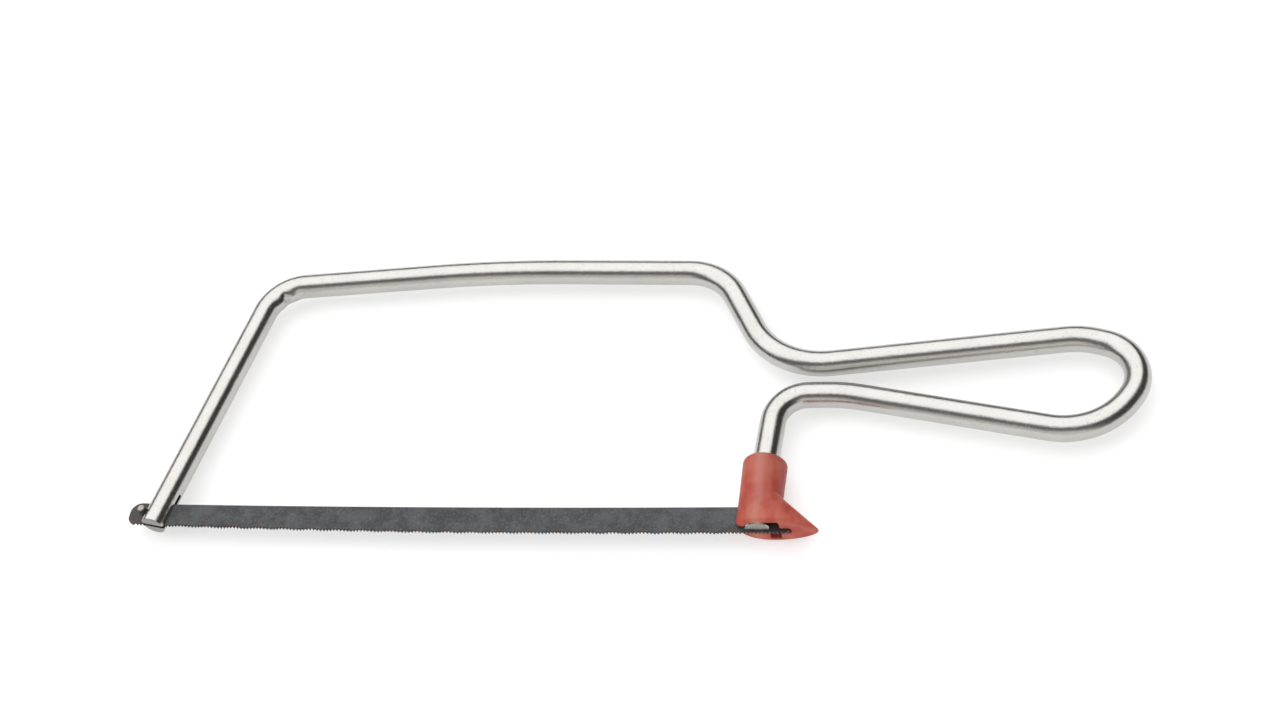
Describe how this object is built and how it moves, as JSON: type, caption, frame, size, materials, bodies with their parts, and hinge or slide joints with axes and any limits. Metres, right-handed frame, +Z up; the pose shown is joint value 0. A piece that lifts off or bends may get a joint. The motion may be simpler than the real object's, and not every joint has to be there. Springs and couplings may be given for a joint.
{
  "type": "junior hacksaw",
  "caption": "Small hacksaw: a bent steel rod frame with an open looped handle, a thin pin-ended blade and a moulded boot on the rear end.",
  "frame": {"origin": "on the surface that the saw lies on, below the middle of its outer size", "axes": "+X along the blade from the front pin to the handle, +Y from the blade to the top bar, +Z up across the flat frame"},
  "size_m": [0.2252, 0.075, 0.0096],
  "materials": {
    "plated_rod": "bright nickel plate, lightly speckled and brushed",
    "blade_steel": "dark blued hardened steel, dull, with brown heat marks at the teeth",
    "pin_steel": "dull bare steel wire",
    "boot_plastic": "soft matte moulded red plastic with sink marks"
  },
  "bodies": {
    "handle": {"handle_rod": "plated_rod", "top_bar": "plated_rod", "boot": "boot_plastic"},
    "front_frame": {"front_leg": "plated_rod"},
    "blade": {"blade_strip": "blade_steel", "front_pin": "pin_steel", "rear_pin": "pin_steel"}
  },
  "joints": [
    {"name": "frame_flex", "type": "hinge", "parent": "handle", "child": "front_frame", "pos_m": [-0.0361, 0.0334, 0.00479], "axis": [0, 0, 1], "range_deg": [0, 0.254], "stiffness_Nm_per_rad": 40, "deforming": ["top_bar"]},
    {"name": "blade_swing", "type": "hinge", "parent": "front_frame", "child": "blade", "pos_m": [-0.10887, -0.03321, 0.00479], "axis": [0, 0, 1], "range_deg": [-90, 0]}
  ]
}
